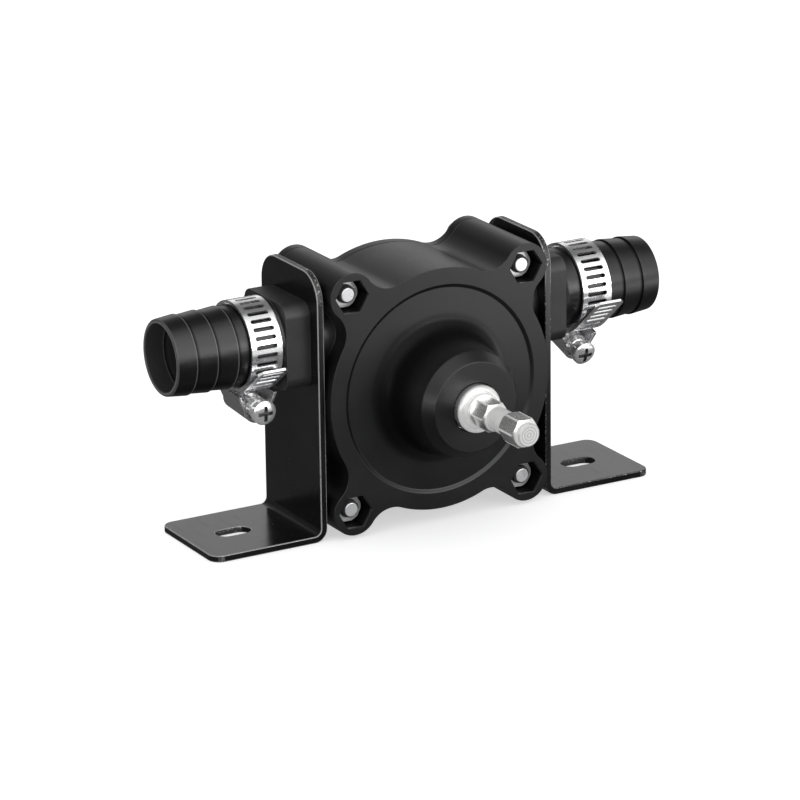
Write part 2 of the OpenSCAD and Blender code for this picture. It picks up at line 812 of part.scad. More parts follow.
module seal_spring() {
    points = [for (i = [0:spring_steps], k = [0:wire_sides - 1])
        let (c = spring_point(i), a = 360 * i / spring_rings, b = 360 * k / wire_sides)
        c + spring_wire_r * (cos(b) * [cos(a), sin(a), 0] + sin(b) * [0, 0, 1])];
    sides = [for (i = [0:spring_steps - 1], k = [0:wire_sides - 1])
        let (k2 = (k + 1) % wire_sides, a = i * wire_sides, b = a + wire_sides)
        each [[a + k, b + k, b + k2], [a + k, b + k2, a + k2]]];
    first = [for (k = [0:wire_sides - 1]) k];
    last = [for (k = [wire_sides - 1:-1:0]) spring_steps * wire_sides + k];
    echo(spring_gap_mm = spring_lead - 2 * spring_wire_r);
    color("#b8babc") on_shaft() translate([0, 0, spring_q + fit])
        polyhedron(points, concat(sides, [first, last]));
}

// Curved vane, drawn as a slice of a ring
module vane() {
    intersection() {
        difference() {
            circle(impeller_r);
            circle(hub_r - fit);
        }
        translate([hub_r, -vane_bow_r]) difference() {
            circle(vane_bow_r + vane_t / 2);
            circle(vane_bow_r - vane_t / 2);
        }
        translate([0, -impeller_r]) square(2 * impeller_r);
    }
}

module impeller() {
    color("#d9d6cc") on_shaft() difference() {
        union() {
            translate([0, 0, impeller_q]) cylinder(r = impeller_r, h = disc_t);
            translate([0, 0, impeller_q]) cylinder(r = hub_r, h = vane_end_q - impeller_q);
            translate([0, 0, impeller_q + disc_t - fit])
                linear_extrude(vane_end_q - impeller_q - disc_t + fit)
                for (i = [0:vane_n - 1]) rotate(i * 360 / vane_n) vane();
        }
        difference() {
            translate([0, 0, impeller_q - over]) cylinder(r = shaft_r + fit, h = hub_floor_q);
            translate([-shaft_r - over, shaft_r * drive_flat_share + fit, 0])
                cube([2 * shaft_r + 2 * over, shaft_r, hub_floor_q + over]);
        }
        translate([0, 0, hub_floor_q]) cylinder(r = hub_recess_r, h = hub_floor_q);
    }
}

module impeller_washer() {
    color("#c0c2c4") on_shaft() ring(impeller_washer_r, stud_r + fit, hub_floor_q + fit,
        hub_floor_q + impeller_washer_t);
}

module impeller_nut() {
    q = hub_floor_q + impeller_washer_t;
    color("#c6c8ca") on_shaft() nut(impeller_nut_af, stud_r + fit, q + fit, q + impeller_nut_t);
}

// Places a clamp piece on a port at x, turned round the port from hanging straight down
module on_barb(x, turn) {
    translate([x, 0, port_h]) rotate([turn, 0, 0]) children();
}

// A slot through the band, at an angle counted from the bottom towards the front
module band_slot(deg, r0, r1) {
    rotate([-deg, 0, 0]) translate([0, 0, -r1]) {
        translate([-(band_slot_len - band_slot_w) / 2, -band_slot_w / 2, 0])
            cube([band_slot_len - band_slot_w, band_slot_w, r1 - r0]);
        for (s = [-1, 1]) translate([s * (band_slot_len - band_slot_w) / 2, 0, 0])
            cylinder(r = band_slot_w / 2, h = r1 - r0, $fn = 24);
    }
}

// Section of a band: once round, over itself at the screw, and straight out into its tail.
// It is drawn with the bottom of the band along x, where the band has no slots
module band_outline(tail_deg, tail_len) {
    reach = 2 * tail_r;
    difference() {
        circle(band_outer_r);
        circle(band_r);
    }
    intersection() {
        difference() {
            circle(tail_r);
            circle(band_outer_r - fit);
        }
        polygon([[0, 0], reach * [cos(overlap_deg), sin(overlap_deg)], [reach, 0],
            reach * [cos(tail_deg), -sin(tail_deg)]]);
    }
    rotate(-tail_deg) translate([tail_r - band_t + fit, -tail_len])
        square([band_t, tail_len + tail_lap]);
}

// Slotted band of a hose clamp, with the corners of its tail cut off
module clamp_band(x, turn, tail_deg, tail_len) {
    pitch_deg = 360 / slot_n;
    pitch = tail_r * pitch_deg * PI / 180;
    color("#cfd2d6") on_barb(x, turn) difference() {
        translate([-band_w / 2, 0, 0]) rotate([90, 0, 90]) linear_extrude(band_w)
            rotate(-90) band_outline(tail_deg, tail_len);
        for (i = [0:slot_n - 1]) let (deg = (tail_deg + pitch_deg / 2 + i * pitch_deg) % 360)
            if (deg > housing_skip_deg && deg < 360 - housing_skip_deg)
                band_slot(deg, band_r - over, tail_r + over);
        rotate([-tail_deg, 0, 0]) {
            for (y = [pitch / 2:pitch:tail_len - pitch / 2])
                translate([0, -y, 0]) band_slot(0, tail_r - band_t, tail_r + over);
            for (s = [-1, 1]) translate([0, 0, -tail_r - over]) linear_extrude(band_t + 2 * over)
                polygon([[s * (band_w / 2 - tail_corner - over), -tail_len - over],
                    [s * (band_w / 2 + over), -tail_len + tail_corner + over],
                    [s * (band_w / 2 + over), -tail_len - over]]);
        }
    }
}

// Folded steel housing: an arch round the worm with cheeks down both edges of the band
module housing_outline(wall, run) {
    translate([0, worm_d]) circle(housing_r - wall);
    polygon([[housing_w / 2 - wall, housing_top_d - run],
        [housing_w / 2 - wall, housing_knee_d], [housing_r - wall, worm_d],
        [-housing_r + wall, worm_d], [-housing_w / 2 + wall, housing_knee_d],
        [-housing_w / 2 + wall, housing_top_d - run]]);
}

module clamp_housing(x, turn) {
    color("#c2c5c9") on_barb(x, turn) translate([0, -housing_front, 0]) rotate([-90, 0, 0])
        linear_extrude(housing_front + housing_rear) difference() {
            housing_outline(0, 0);
            housing_outline(housing_wall, over);
        }
}

// Worm screw with a domed head and a cross recess, its head towards the front
module clamp_screw(x, turn) {
    head_end = screw_reach - screw_head_t;
    worm_len = housing_front + housing_rear;
    ridge = worm_len / worm_ridge_n;
    color("#d8dadd") on_barb(x, turn) translate([0, 0, -worm_d]) rotate([90, 0, 0]) difference() {
        rotate_extrude() polygon(concat([[0, screw_reach], [screw_head_r / 2, screw_reach],
            [screw_head_r * dome_edge_share, screw_reach - screw_dome / 2],
            [screw_head_r, screw_reach - screw_dome], [screw_head_r, head_end],
            [screw_neck_r, head_end], [screw_neck_r, housing_front]],
            [for (i = [0:worm_ridge_n - 1]) let (z = housing_front - i * ridge)
                each [[worm_r - worm_ridge_h, z], [worm_r, z - ridge / 2]]],
            [[worm_r - worm_ridge_h, -housing_rear], [0, -housing_rear]]));
        for (a = [0, 90]) rotate(a)
            translate([-recess_len / 2, -recess_w / 2, screw_reach - recess_depth])
            cube([recess_len, recess_w, recess_depth + over]);
    }
}

module left_clamp_band() { clamp_band(-left_band_x, left_turn, left_tail_deg, left_tail_len); }
module left_clamp_housing() { clamp_housing(-left_band_x, left_turn); }
module left_clamp_screw() { clamp_screw(-left_band_x, left_turn); }
module right_clamp_band() { clamp_band(right_band_x, right_turn, right_tail_deg, right_tail_len); }
module right_clamp_housing() { clamp_housing(right_band_x, right_turn); }
module right_clamp_screw() { clamp_screw(right_band_x, right_turn); }

left_bracket();
right_bracket();
pump_body();
rear_cover();
cover_seal();
wear_plate();
front_bearing_outer_ring();
rear_bearing_outer_ring();
bearing_circlip();
seal_cup();
seal_seat();
through_bolts();
bolt_washers();
hex_nuts();
left_hose_barb();
right_hose_barb();
left_port_seal();
right_port_seal();
drive_shaft();
shaft_collar();
front_bearing_inner_ring();
rear_bearing_inner_ring();
bearing_spacer();
shaft_clip();
seal_face_ring();
seal_spring();
impeller();
impeller_washer();
impeller_nut();
front_bearing_cage();
front_bearing_balls();
rear_bearing_cage();
rear_bearing_balls();
left_clamp_band();
left_clamp_housing();
left_clamp_screw();
right_clamp_band();
right_clamp_housing();
right_clamp_screw();
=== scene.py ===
import json
import math

import bmesh
import bpy
from mathutils import Matrix, Vector

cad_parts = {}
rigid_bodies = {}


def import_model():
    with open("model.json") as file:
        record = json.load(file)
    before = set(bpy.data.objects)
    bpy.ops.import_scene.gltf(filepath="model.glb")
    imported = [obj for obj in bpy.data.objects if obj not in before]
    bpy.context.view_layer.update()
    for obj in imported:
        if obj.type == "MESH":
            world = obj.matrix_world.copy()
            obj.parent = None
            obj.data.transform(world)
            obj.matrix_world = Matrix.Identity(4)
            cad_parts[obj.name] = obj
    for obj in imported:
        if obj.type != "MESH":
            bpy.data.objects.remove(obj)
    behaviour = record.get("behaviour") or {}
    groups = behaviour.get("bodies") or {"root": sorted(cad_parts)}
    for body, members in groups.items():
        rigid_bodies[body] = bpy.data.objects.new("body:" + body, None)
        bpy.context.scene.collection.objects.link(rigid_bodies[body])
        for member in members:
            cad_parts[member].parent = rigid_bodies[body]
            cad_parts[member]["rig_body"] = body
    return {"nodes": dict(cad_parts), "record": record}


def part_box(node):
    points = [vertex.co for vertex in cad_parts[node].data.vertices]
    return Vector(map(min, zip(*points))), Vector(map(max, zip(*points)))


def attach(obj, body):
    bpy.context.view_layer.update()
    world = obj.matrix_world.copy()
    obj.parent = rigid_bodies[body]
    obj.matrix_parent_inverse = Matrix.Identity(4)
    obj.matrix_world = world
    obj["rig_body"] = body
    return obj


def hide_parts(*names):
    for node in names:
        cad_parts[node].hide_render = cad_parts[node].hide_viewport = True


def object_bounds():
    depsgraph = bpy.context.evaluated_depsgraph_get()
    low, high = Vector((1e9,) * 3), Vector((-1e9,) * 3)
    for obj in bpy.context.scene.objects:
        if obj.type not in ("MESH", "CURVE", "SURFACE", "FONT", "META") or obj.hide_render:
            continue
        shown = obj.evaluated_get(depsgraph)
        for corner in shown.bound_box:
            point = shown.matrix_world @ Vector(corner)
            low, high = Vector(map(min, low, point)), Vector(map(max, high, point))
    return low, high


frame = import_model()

cad_low, cad_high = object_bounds()
MM = 0.001

# Sizes of the pump in metres, where the scene adds a form or a mark to the frame
AXIS_H = 40 * MM
PORT_H = 57.5 * MM
FRONT_Y = -19.25 * MM
EAR_X, EAR_Z = 28.5 * MM, 32 * MM
RIDGE_PITCH = 6.4 * MM
INNER_RIDGE_X, MOUTH_X = 60.7 * MM, 79.5 * MM
BARB_BORE_R = 9.8 * MM
FLANGE_END_X, PLATE_OUTER_X = 46.2 * MM, 38.4 * MM
BOLT_R, POCKET_REACH = 2.5 * MM, 5.5 * MM
SHANK_FLAT_R, SHANK_CORNER_R = 4.0 * MM, 4.62 * MM
FOOT_SHADE_R = 20.0 * MM
WORM_DROP = 16.9 * MM
RECESS_FLOOR, RECESS_R = 11.2 * MM, 2.9 * MM
# Plastic tone of the painted highlights on the barbs, and steel bared through the paint
HIGHLIGHT_PLASTIC, BARE_STEEL = (0.13, 0.13, 0.132), (0.46, 0.45, 0.43)
# Place along the port line and turn in degrees of each clamp
CLAMPS = {"left": (-52.4 * MM, 4), "right": (56.7 * MM, 18)}


def grey(value, tint=0.0):
    """A grey, with a little more blue in it for a tint above 0."""
    return (value, value, value + tint)


def feed(tree, socket, value):
    """Links an output or a Field to the socket, or sets its plain value."""
    if isinstance(value, Field):
        value = value.socket
    if isinstance(value, bpy.types.NodeSocket):
        tree.links.new(value, socket)
    elif socket.type == "RGBA":
        socket.default_value = (*value[:3], 1)
    else:
        socket.default_value = value


def add_node(tree, kind, inputs=None, **settings):
    """New node, with its settings made and a value or an output fed to each named input."""
    made = tree.nodes.new(kind)
    for key, value in settings.items():
        setattr(made, key, value)
    for key, value in (inputs or {}).items():
        feed(tree, made.inputs[key], value)
    return made


def maths(tree, operation, first, second):
    return add_node(tree, "ShaderNodeMath", {0: first, 1: second}, operation=operation).outputs[0]


def mapped(tree, value, low, high, start, end, shape="LINEAR"):
    """Takes the range low to high of a value to start to end, and holds it outside."""
    inputs = {"Value": value, "From Min": low, "From Max": high, "To Min": start, "To Max": end}
    return add_node(tree, "ShaderNodeMapRange", inputs, interpolation_type=shape).outputs[0]


def mixed_shader(tree, factor, first, second):
    return add_node(tree, "ShaderNodeMixShader", {0: factor, 1: first, 2: second}).outputs[0]


class Field:
    """A value that changes over a surface; plain operators on it add Math nodes."""

    def __init__(self, finish, socket):
        self.finish, self.socket = finish, socket

    def _math(self, operation, *values):
        return self.finish.node("ShaderNodeMath", {"operation": operation}, dict(enumerate(values)))

    def __add__(self, other):
        return self._math("ADD", self, other)

    __radd__ = __add__

    def __sub__(self, other):
        return self._math("SUBTRACT", self, other)

    def __rsub__(self, other):
        return self._math("SUBTRACT", other, self)

    def __mul__(self, other):
        return self._math("MULTIPLY", self, other)

    __rmul__ = __mul__

    def __truediv__(self, other):
        return self._math("DIVIDE", self, other)

    def __pow__(self, other):
        return self._math("POWER", self, other)

    def __mod__(self, other):
        return self._math("FLOORED_MODULO", self, other)

    def __abs__(self):
        return self._math("ABSOLUTE", self)

    def clamped(self):
        return self.finish.node("ShaderNodeClamp", {}, {"Value": self})

    def between(self, low, high):
        """0 below low, 1 above high, smooth in between."""
        return self.finish.node(
            "ShaderNodeMapRange",
            {"interpolation_type": "SMOOTHSTEP"},
            {"Value": self, "From Min": low, "From Max": high},
        )


class Finish:
    """A material under construction, with one method for every node."""

    def __init__(self, name):
        self.material = bpy.data.materials.new(name)
        self.material.use_nodes = True
        self.tree = self.material.node_tree
        self.shader = self.tree.nodes["Principled BSDF"]
        self.place = self.node("ShaderNodeTexCoord", {}, {}, "Object")

    def node(self, kind, settings, inputs, output=0):
        return Field(self, add_node(self.tree, kind, inputs, **settings).outputs[output])

    def set(self, **values):
        for key, value in values.items():
            feed(self.tree, self.shader.inputs[key.replace("_", " ")], value)

    def axis(self, index):
        """One of the Object coordinates, in metres."""
        return self.node("ShaderNodeSeparateXYZ", {}, {0: self.place}, index)

    def shaded(self, mask):
        """Mixes a near-black finish over the surface where the mask is high: painted shade in
        grooves, pockets and thread roots, and the dark turned rings of the shank tip.
        """
        look = {"Base Color": grey(0.0015), "Roughness": 0.8, "Specular IOR Level": 0.08}
        deep = add_node(self.tree, "ShaderNodeBsdfPrincipled", look)
        mix = mixed_shader(self.tree, mask, self.shader.outputs[0], deep.outputs[0])
        feed(self.tree, self.tree.nodes["Material Output"].inputs[0], mix)

    def stretched(self, x, y, z):
        """Object coordinates stretched along each axis, for brushed or rolled grain."""
        return self.node(
            "ShaderNodeVectorMath", {"operation": "MULTIPLY"}, {0: self.place, 1: (x, y, z)}
        )

    def noise(self, scale, detail=2.0, rough=0.5, where=None):
        return self.node(
            "ShaderNodeTexNoise",
            {},
            {"Vector": where or self.place, "Scale": scale, "Detail": detail, "Roughness": rough},
        )

    def specks(self, scale):
        return self.node(
            "ShaderNodeTexVoronoi", {}, {"Vector": self.place, "Scale": scale}, "Distance"
        )

    def mixed(self, factor, a, b):
        return self.node(
            "ShaderNodeMix", {"data_type": "RGBA"}, {"Factor": factor, 6: a, 7: b}, 2
        )

    def bumped(self, height, distance, strength=1.0, under=None):
        inputs = {"Height": height, "Distance": distance, "Strength": strength}
        if under is not None:
            inputs["Normal"] = under
        return self.node("ShaderNodeBump", {}, inputs)


def squared(value):
    return value * value


def barb_marks(f):
    """Painted highlight on a barb's ridge edges and mouth, painted shade on its steps and painted
    light in its bore.
    """
    x = abs(f.axis(0))
    step = (x - INNER_RIDGE_X) % RIDGE_PITCH
    on_ridges = x.between(INNER_RIDGE_X - 1.1 * MM, INNER_RIDGE_X - 0.9 * MM)
    on_ridges = on_ridges * x.between(MOUTH_X - 2.3 * MM, MOUTH_X - 2.5 * MM)
    # Painted highlight on the ridge edges of the left barb only, and on the cut mouth of both barbs
    left = f.axis(0).between(MM, -MM)
    mouth = x.between(MOUTH_X - 0.35 * MM, MOUTH_X - 0.25 * MM)
    highlight_and_film = step.between(0.55 * MM, 0.15 * MM) * on_ridges * left + mouth
    # Painted light inside the bore, towards its mouth
    inside = (squared(f.axis(1)) + squared(f.axis(2) - PORT_H)).between(
        squared(BARB_BORE_R + 0.2 * MM), squared(BARB_BORE_R + 0.1 * MM)
    )
    bore = inside * x.between(50 * MM, 70 * MM)
    # Painted shade on the steps of the ridges
    groove = step.between(RIDGE_PITCH - 1.2 * MM, RIDGE_PITCH - 0.1 * MM) * on_ridges
    return (highlight_and_film + bore * 0.35).clamped(), groove * 0.85


def from_bolt(f):
    """Distance from the line of the nearest bolt."""
    across, up = abs(f.axis(0)) - EAR_X, abs(f.axis(2) - AXIS_H) - EAR_Z
    return (squared(across) + squared(up)) ** 0.5


def nut_marks(f):
    """Shade between the thread of a bolt's end and its nut."""
    reach = from_bolt(f)
    ring = reach.between(BOLT_R - 0.55 * MM, BOLT_R - 0.4 * MM)
    ring = ring * reach.between(BOLT_R + 0.4 * MM, BOLT_R + 0.2 * MM)
    return ring * f.axis(1).between(0, -2 * MM) * 0.85


def from_shaft(f):
    """Distance from the line of the shaft."""
    return (squared(f.axis(0)) + squared(f.axis(2) - AXIS_H)) ** 0.5


def shaft_marks(f):
    """Turned rings on the flat tip of the shank."""
    rings = (from_shaft(f) % (0.85 * MM)).between(0.30 * MM, 0.55 * MM)
    return rings * f.axis(1).between(cad_low.y + 0.5 * MM, cad_low.y + 0.3 * MM) * 0.30


def shank_highlights(f):
    """Painted highlights on the corners of the hex shank, and painted light on its turned neck and
    tip.
    """
    reach = from_shaft(f)
    corners = reach.between(SHANK_CORNER_R - 0.22 * MM, SHANK_CORNER_R - 0.12 * MM)
    turned = reach.between(SHANK_FLAT_R - 0.05 * MM, SHANK_FLAT_R - 0.20 * MM)
    return (corners + turned).clamped() * f.axis(1).between(-40 * MM, -41 * MM)


def body_marks(f):
    """Shade in the body's four nut pockets and at the upper left of the nose's foot."""
    inside = from_bolt(f).between(POCKET_REACH + 0.1 * MM, POCKET_REACH - 0.1 * MM)
    pocket = inside * f.axis(1).between(FRONT_Y + 0.1 * MM, FRONT_Y + 1.3 * MM)
    reach = from_shaft(f)
    foot = reach.between(FOOT_SHADE_R + 3.5 * MM, FOOT_SHADE_R)
    foot = foot * f.axis(1).between(-33 * MM, -25 * MM) * f.axis(1).between(-10 * MM, -14 * MM)
    upper_left = ((f.axis(2) - AXIS_H - f.axis(0)) / reach).between(-1.1, 0.5)
    return None, (pocket * 0.97 + foot * upper_left * 0.88).clamped()


def moulded(name, dark, light, rough, grain, grain_size, wear_and_highlight, marks=None):
    """Black moulded plastic: fine grain, faint flow marks, scuffs and slightly lighter dust, with
    the painted highlights and painted shade of its marks.
    """
    f = Finish(name)
    cloud = f.noise(55, 4, 0.6)
    fine = f.noise(1000 / grain_size, 3, 0.65)
    scuff = f.noise(24, 6, 0.7, f.stretched(1, 3, 2.2)).between(0.58, 0.78)
    tone = f.mixed(cloud.between(0.3, 0.72), dark, light)
    tone = f.mixed(scuff * fine.between(0.45, 0.7) * 0.35, tone, wear_and_highlight)
    highlight_and_film, shade = marks(f) if marks else (None, None)
    # Painted highlight: a lighter tone where the marks ask
    if highlight_and_film is not None:
        tone = f.mixed(highlight_and_film * (fine * 0.6 + 0.6), tone, HIGHLIGHT_PLASTIC)
    # Painted shade where the marks ask
    if shade is not None:
        f.shaded(shade)
    coarse = f.noise(300 / grain_size, 2, 0.5)
    skin = f.bumped(fine * 0.7 + coarse * 0.3, grain * MM)
    f.set(
        Base_Color=tone,
        Roughness=rough + (cloud - 0.5) * 0.10 + (fine - 0.5) * 0.12 + scuff * 0.06,
        Normal=f.bumped(f.noise(26, 2, 0.5), 0.12 * MM, 0.35, skin),
        Specular_IOR_Level=0.5,
    )
    return f.material


def painted(name, colour, rough):
    """Gloss black paint on sheet steel: slight orange peel, dust nibs and thin wiping marks."""
    f = Finish(name)
    peel = f.noise(420, 2, 0.5)
    cloud = f.noise(30, 4, 0.6)
    wiped = f.noise(60, 5, 0.6, f.stretched(9, 1, 1)).between(0.52, 0.72)
    nib = f.specks(260).between(0.10, 0.02)
    f.set(
        Base_Color=f.mixed(cloud.between(0.3, 0.75), colour, [c * 2.2 + 0.004 for c in colour]),
        Roughness=rough + (cloud - 0.5) * 0.12 + wiped * 0.06 + nib * 0.1,
        Coat_Weight=0.12,
        Coat_Roughness=0.2,
        Specular_IOR_Level=0.5,
        Normal=f.bumped(nib * 0.25 + cloud, 0.05 * MM, 0.6, f.bumped(peel, 0.018 * MM)),
    )
    return f.material


def left_or_top(f):
    """1 on the left bracket and on the top corners of the right one, where rounded edges take a
    painted highlight.
    """
    return (f.axis(0).between(MM, -MM) + f.axis(2).between(60 * MM, 68 * MM)).clamped()


def foot_level(f):
    """1 on the cut edge of a foot, 0 up the plate."""
    return f.axis(2).between(2.3 * MM, 1.9 * MM)


def sheared(name, colour, wear_and_highlight, rough, low, high, where):
    """Painted sheared edge, with a lighter tone where the mask says (a painted highlight on rounded
    bracket edges): torn grain and specks of bare steel.
    """
    f = Finish(name)
    tear = f.noise(900, 5, 0.7, f.stretched(0.6, 1, 1))
    specks = f.noise(1600, 3, 0.6).between(0.56, 0.66)
    bare = (specks * f.noise(160, 3, 0.6).between(low, high)).clamped()
    f.set(
        Base_Color=f.mixed(bare, f.mixed(where(f), colour, wear_and_highlight), BARE_STEEL),
        Roughness=rough + (tear - 0.5) * 0.25,
        Metallic=bare * 0.8,
        Specular_IOR_Level=0.6,
        Normal=f.bumped(tear, 0.16 * MM),
    )
    return f.material


def bright_metal(name, colour, rough, stretch, streak, metal, marks=None, painted_highlights=None):
    """Plated or rolled steel: drawn grain along one way, small dents, scratches and dull film, less
    metallic under painted highlights where given, and a near-black mix where its marks say.
    """
    f = Finish(name)
    grain = f.noise(700, 3, 0.6, f.stretched(*stretch))
    dull = f.noise(130, 4, 0.6).between(0.45, 0.75)
    across = f.stretched(*(s * 6 + 0.6 for s in stretch))
    scratches = f.noise(90, 2, 0.5, across).between(0.66, 0.72)
    # Less metallic, so lighter, under a painted highlight where given; else a little under the dull
    # film
    highlight_and_film = painted_highlights(f) if painted_highlights else dull * 0.1
    # Near-black mix where the marks say: painted shade round the bolt threads, turned rings on the
    # shank tip
    if marks:
        f.shaded(marks(f))
    f.set(
        Base_Color=f.mixed(dull * 0.35, colour, [c * 0.55 for c in colour]),
        Metallic=(dull * (1 - metal) * 0.5 + metal) * (1 - highlight_and_film * 0.75),
        Roughness=(rough + dull * 0.16 + (grain - 0.5) * streak + scratches * 0.1).clamped(),
        Normal=f.bumped(f.noise(180, 2, 0.5), 0.006 * MM, 0.5, f.bumped(grain, 0.004 * MM, 0.8)),
    )
    return f.material


def rubber(name, colour):
    """Matt seal rubber with a faint bloom."""
    f = Finish(name)
    bloom = f.noise(120, 5, 0.6)
    fine = f.noise(1800, 2, 0.5)
    f.set(
        Base_Color=f.mixed(
            bloom.between(0.4, 0.75) * 0.5, colour, [c * 1.8 + 0.01 for c in colour]
        ),
        Roughness=0.72 + (bloom - 0.5) * 0.2,
        Normal=f.bumped(fine, 0.02 * MM),
    )
    return f.material


def pale_moulding(name, colour, rough):
    """Unpigmented engineering plastic or ceramic, with faint flow marks."""
    f = Finish(name)
    flow = f.noise(70, 4, 0.55, f.stretched(1, 0.4, 1))
    fine = f.noise(1300, 2, 0.5)
    f.set(
        Base_Color=f.mixed(flow.between(0.35, 0.7), colour, [c * 0.86 for c in colour]),
        Roughness=rough + (flow - 0.5) * 0.15,
        Normal=f.bumped(fine, 0.015 * MM),
    )
    return f.material


EVEN = (1, 1, 1)
MATERIALS = {
    "body_plastic": moulded(
        "satin_black_moulding", grey(0.0045, 0.0005), grey(0.0075, 0.0005),
        0.37, 0.012, 0.9, grey(0.026, 0.001), body_marks,
    ),
    "barb_plastic": moulded(
        "turned_black_plastic", grey(0.0035, 0.0005), grey(0.006, 0.0005),
        0.32, 0.010, 0.8, grey(0.024, 0.001), barb_marks,
    ),
    # Painted highlight on the rounded edges of the left barb
    "barb_edge": moulded(
        "highlight_plastic_edge", grey(0.030, 0.001), grey(0.070, 0.001),
        0.34, 0.010, 0.8, grey(0.16),
    ),
    "flange_plastic": moulded(
        "grained_black_plastic", grey(0.012, 0.0005), grey(0.026, 0.001),
        0.50, 0.045, 1.3, grey(0.06),
    ),
    "bracket_paint": painted("gloss_black_paint", grey(0.003, 0.0005), 0.21),
    "bracket_edge": sheared(
        "sheared_painted_edge", grey(0.004), grey(0.05), 0.40, 0.34, 0.50, foot_level
    ),
    # Rounded bracket edges: specks of bare steel, and a painted highlight where left_or_top says
    "bracket_rub": sheared(
        "rubbed_and_highlit_sheet_corner", grey(0.012), grey(0.34), 0.30, 0.20, 0.40, left_or_top
    ),
    "zinc_steel": bright_metal(
        "bright_zinc_steel", grey(0.93, 0.01), 0.20, EVEN, 0.06, 0.35, nut_marks
    ),
    "shaft_steel": bright_metal(
        "plated_shank_steel", grey(0.93, -0.01), 0.22, (1, 6, 1), 0.10, 0.86,
        shaft_marks, shank_highlights,
    ),
    "clamp_steel": bright_metal(
        "rolled_clamp_steel", grey(0.94, 0.01), 0.20, (0.5, 3, 3), 0.08, 0.92
    ),
    "clamp_screw_steel": bright_metal("plated_screw_steel", grey(0.95), 0.18, EVEN, 0.05, 0.7),
    "housing_steel": bright_metal(
        "folded_housing_steel", grey(0.72, 0.01), 0.15, EVEN, 0.04, 0.97
    ),
    # Painted shade in the cross recesses of the clamp screws
    "recess_steel": bright_metal("shaded_recess_steel", grey(0.16), 0.45, EVEN, 0.05, 0.8),
    "bearing_steel": bright_metal(
        "ground_bearing_steel", (0.82, 0.83, 0.85), 0.14, EVEN, 0.05, 0.95
    ),
    "spring_steel": bright_metal(
        "blackened_spring_steel", grey(0.16, 0.01), 0.34, EVEN, 0.08, 0.95
    ),
    "stainless_plate": bright_metal(
        "rolled_stainless_plate", grey(0.70, 0.01), 0.24, (0.3, 3, 3), 0.12, 0.95
    ),
    "seal_rubber": rubber("black_seal_rubber", grey(0.018)),
    "seal_ceramic": pale_moulding("lapped_white_ceramic", (0.82, 0.81, 0.77), 0.24),
    "seal_carbon": pale_moulding("lapped_carbon", grey(0.045, 0.003), 0.34),
    "impeller_plastic": pale_moulding("natural_impeller_plastic", (0.74, 0.71, 0.62), 0.42),
    "cage_plastic": pale_moulding("brown_cage_plastic", (0.30, 0.17, 0.07), 0.45),
}


# Every node of the frame gets the finish that its slot in the record asks for
slot_of = {row["node"]: row["material_slot"] for row in frame["record"]["subparts"]}
for name, node in frame["nodes"].items():
    node.data.materials.clear()
    node.data.materials.append(MATERIALS[slot_of[name]])
body_of = {n: o["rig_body"] for n, o in frame["nodes"].items()}


def settle(obj):
    """Makes an object's modifiers part of its plain mesh."""
    graph = bpy.context.evaluated_depsgraph_get()
    mesh = bpy.data.meshes.new_from_object(
        obj.evaluated_get(graph), preserve_all_data_layers=True, depsgraph=graph
    )
    obj.modifiers.clear()
    old = obj.data
    obj.data = mesh
    bpy.data.meshes.remove(old)


def rounded(node, edge_mm, materials=None, edge_slot=None, sharp_deg=32):
    """Piece that stands for a node: its welded shape, hard edges rounded, or crisp at 0."""
    bm = bmesh.new()
    bm.from_mesh(frame["nodes"][node].data)
    bmesh.ops.remove_doubles(bm, verts=bm.verts, dist=3e-7)
    bmesh.ops.dissolve_limit(bm, angle_limit=math.radians(0.5), verts=bm.verts, edges=bm.edges)
    mesh = bpy.data.meshes.new(node + "_finished")
    if not edge_mm:
        for edge in bm.edges:
            shallow = edge.calc_face_angle(0) < math.radians(sharp_deg)
            edge.smooth = len(edge.link_faces) == 2 and shallow
    bm.to_mesh(mesh)
    bm.free()
    obj = bpy.data.objects.new(node + "_finished", mesh)
    bpy.context.scene.collection.objects.link(obj)
    for polygon in mesh.polygons:
        polygon.use_smooth = True
    for m in materials or [slot_of[node]]:
        mesh.materials.append(MATERIALS[m])
    if edge_mm:
        bevel = obj.modifiers.new("edges", "BEVEL")
        bevel.width = edge_mm * MM
        bevel.segments = 2
        bevel.limit_method = "ANGLE"
        bevel.angle_limit = math.radians(sharp_deg)
        bevel.use_clamp_overlap = False
        bevel.miter_outer = "MITER_ARC"
        if edge_slot is not None:
            bevel.material = edge_slot
    normals = obj.modifiers.new("normals", "WEIGHTED_NORMAL")
    normals.weight = 80
    normals.keep_sharp = True
    settle(obj)
    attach(obj, body_of[node])
    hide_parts(node)
    return obj


# Width of the rounded edges of each piece in millimetres; where a piece has more than one finish,
# the finishes and which of them its rounded edges take; and the least angle of a hard edge
BRACKET = (0.28, ["bracket_paint", "bracket_edge", "bracket_rub"], 2)
HOUSING = (0.10, ["housing_steel", "clamp_screw_steel"], 1)
SCREW = (0, ["clamp_screw_steel", "recess_steel"])
EDGES = {
    "pump_body": (0.16, None, None, 20),
    "rear_cover": (0.35,),
    "left_hose_barb": (0.16, ["barb_plastic", "flange_plastic", "barb_edge"], 2),
    "right_hose_barb": (0.16, ["barb_plastic", "flange_plastic"]),
    "left_bracket": BRACKET,
    "right_bracket": BRACKET,
    "drive_shaft": (0,),
    "shaft_collar": (0,),
    "hex_nuts": (0.10,),
    "through_bolts": (0.14,),
    "bolt_washers": (0.12,),
    "left_clamp_band": (0,),
    "right_clamp_band": (0,),
    "left_clamp_housing": HOUSING,
    "right_clamp_housing": HOUSING,
    "left_clamp_screw": SCREW,
    "right_clamp_screw": SCREW,
}
PIECES = {node: rounded(node, *edges) for node, edges in EDGES.items()}


